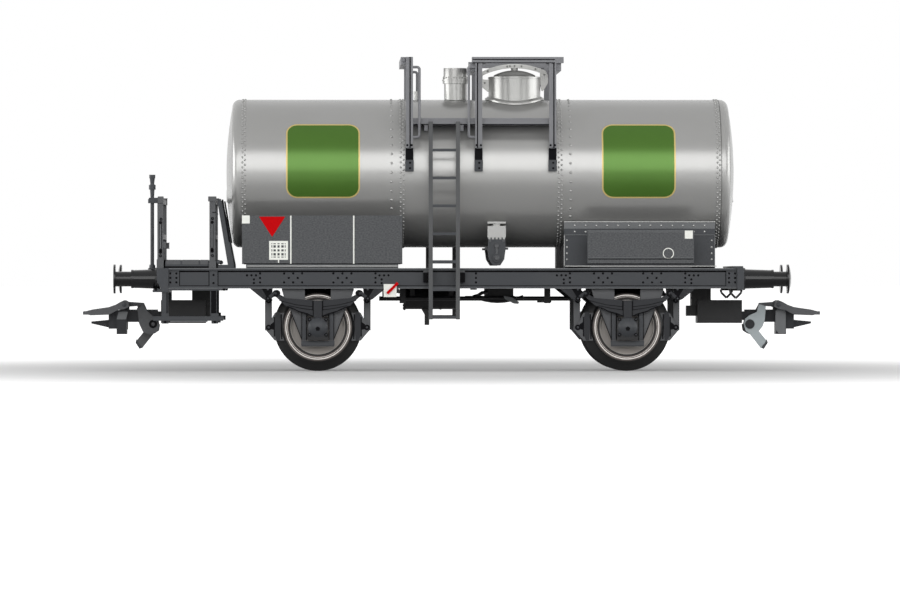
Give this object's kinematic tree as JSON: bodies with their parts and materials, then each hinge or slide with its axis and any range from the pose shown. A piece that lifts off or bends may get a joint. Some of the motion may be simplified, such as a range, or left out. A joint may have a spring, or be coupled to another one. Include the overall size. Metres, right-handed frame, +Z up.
{
  "type": "model railway tank car",
  "caption": "Small model railway tank wagon: a silver tank with dome, walkways and ladders on a dark two-axle frame with end platform, buffers and loop couplers.",
  "frame": {"origin": "on the floor under the wheel flanges, at the middle of the bounding box", "axes": "+X along the wagon away from the brakeman's platform, +Y across it away from the pictured side, +Z up"},
  "size_m": [0.1094, 0.0286, 0.0463],
  "materials": {
    "tank_silver": "satin metallic paint",
    "lid_grey": "satin",
    "frame_grey": "matt moulded",
    "railing_grey": "matt moulded",
    "board_grey": "matt printed",
    "black_plastic": "matt moulded",
    "wheel_brown": "dull",
    "tyre_steel": "turned",
    "lever_zinc": "dull cast zinc",
    "plate_white": "printed",
    "lever_red": "painted"
  },
  "bodies": {
    "chassis": {"tank_barrel": "tank_silver", "tank_heads": "tank_silver", "dome": "tank_silver", "dome_lid": "lid_grey", "dome_clamp": "tank_silver", "vent_stack": "tank_silver", "filler_plug": "tank_silver", "saddle_left": "frame_grey", "saddle_right": "frame_grey", "boards_left": "board_grey", "boards_right": "board_grey", "outlet_necks": "tank_silver", "outlet_valves": "frame_grey", "walkway_near": "railing_grey", "walkway_far": "railing_grey", "railing_posts": "railing_grey", "railing_rails": "railing_grey", "railing_ties": "railing_grey", "hand_grips": "railing_grey", "ladder_near": "railing_grey", "ladder_far": "railing_grey", "sill_near": "frame_grey", "sill_far": "frame_grey", "headstock_left": "frame_grey", "headstock_right": "frame_grey", "underframe": "frame_grey", "axle_guards_left": "frame_grey", "axle_guards_right": "frame_grey", "axle_boxes": "frame_grey", "springs": "frame_grey", "brakes_left": "frame_grey", "brakes_right": "frame_grey", "brake_rigging": "black_plastic", "release_plates": "plate_white", "release_levers": "lever_red", "platform_floor": "frame_grey", "platform_posts": "frame_grey", "platform_rails": "frame_grey", "platform_braces": "frame_grey", "brake_spindle": "frame_grey", "steps": "frame_grey", "buffer_sleeves": "black_plastic", "buffer_heads": "black_plastic", "rope_eyes": "black_plastic", "left_coupler_pocket": "black_plastic", "right_coupler_pocket": "black_plastic"},
    "left_wheelset": {"left_axle": "tyre_steel", "left_tyres": "tyre_steel", "left_wheel_centres": "wheel_brown"},
    "left_coupler": {"left_coupler_head": "black_plastic"},
    "left_loop": {"left_coupler_loop": "black_plastic"},
    "left_lever": {"left_coupler_lever": "lever_zinc"},
    "right_wheelset": {"right_axle": "tyre_steel", "right_tyres": "tyre_steel", "right_wheel_centres": "wheel_brown"},
    "right_coupler": {"right_coupler_head": "black_plastic"},
    "right_loop": {"right_coupler_loop": "black_plastic"},
    "right_lever": {"right_coupler_lever": "lever_zinc"}
  },
  "joints": [
    {"name": "left_wheels_turn", "type": "hinge", "parent": "chassis", "child": "left_wheelset", "pos_m": [-0.0199, 0, 0.0065], "axis": [0, 1, 0], "continuous": true},
    {"name": "left_coupler_swing", "type": "hinge", "parent": "chassis", "child": "left_coupler", "pos_m": [-0.0382, 0, 0.00813], "axis": [0, 0, 1], "range_deg": [-12, 12], "stiffness_Nm_per_rad": 0.0005},
    {"name": "left_lever_press", "type": "hinge", "parent": "left_coupler", "child": "left_lever", "pos_m": [-0.04441, 0, 0.0069], "axis": [0, 1, 0], "range_deg": [0, 18]},
    {"name": "left_loop_lift", "type": "hinge", "parent": "left_coupler", "child": "left_loop", "pos_m": [-0.0486, 0, 0.0098], "axis": [0, 1, 0], "range_deg": [0, 18]},
    {"name": "right_wheels_turn", "type": "hinge", "parent": "chassis", "child": "right_wheelset", "pos_m": [0.02575, 0, 0.0065], "axis": [0, 1, 0], "continuous": true},
    {"name": "right_coupler_swing", "type": "hinge", "parent": "chassis", "child": "right_coupler", "pos_m": [0.0382, 0, 0.00813], "axis": [0, 0, 1], "range_deg": [-12, 12], "stiffness_Nm_per_rad": 0.0005},
    {"name": "right_lever_press", "type": "hinge", "parent": "right_coupler", "child": "right_lever", "pos_m": [0.04441, 0, 0.0069], "axis": [0, -1, 0], "range_deg": [0, 18]},
    {"name": "right_loop_lift", "type": "hinge", "parent": "right_coupler", "child": "right_loop", "pos_m": [0.0486, 0, 0.0098], "axis": [0, -1, 0], "range_deg": [0, 18]}
  ],
  "couplings": [
    {"joint": "left_loop_lift", "follows": "left_lever_press", "ratio": 1},
    {"joint": "right_loop_lift", "follows": "right_lever_press", "ratio": 1}
  ]
}
